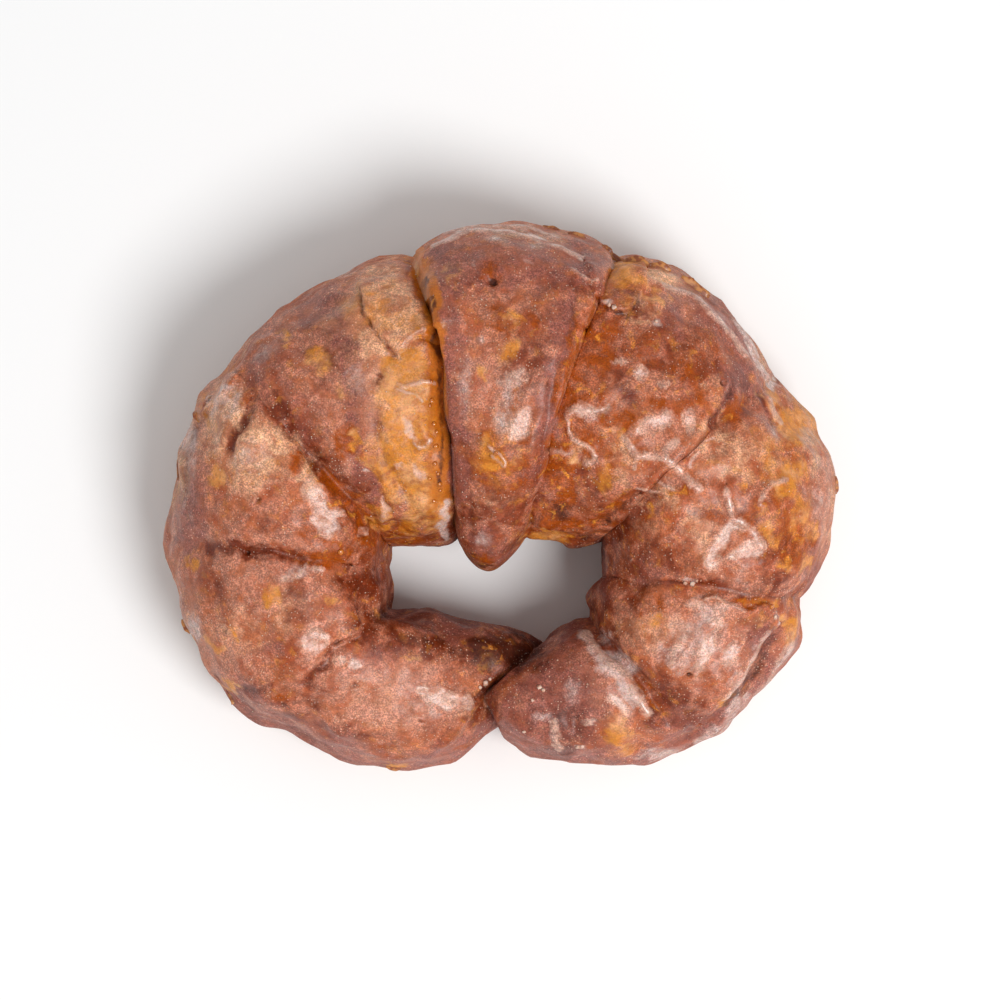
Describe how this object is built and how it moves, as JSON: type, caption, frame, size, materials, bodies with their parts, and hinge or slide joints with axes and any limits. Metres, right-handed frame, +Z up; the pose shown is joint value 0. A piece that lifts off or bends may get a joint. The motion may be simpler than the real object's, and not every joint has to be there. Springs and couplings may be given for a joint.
{
  "type": "croissant doughnut",
  "caption": "Glazed laminated dough rolled into wraps and bent into a ring, with its horns meeting, a central band and a hole through it.",
  "frame": {"origin": "on the surface the doughnut rests on, below the middle of its box seen from above", "axes": "+X along the length, +Y from the horns towards the back of the band, +Z up"},
  "size_m": [0.1156, 0.0944, 0.045],
  "materials": {
    "glazed_crust": "reddish brown fried crust under a thin translucent sugar glaze, satin with fine pale speckles and golden patches"
  },
  "bodies": {
    "root": {"croissant_doughnut": "glazed_crust"}
  },
  "joints": []
}
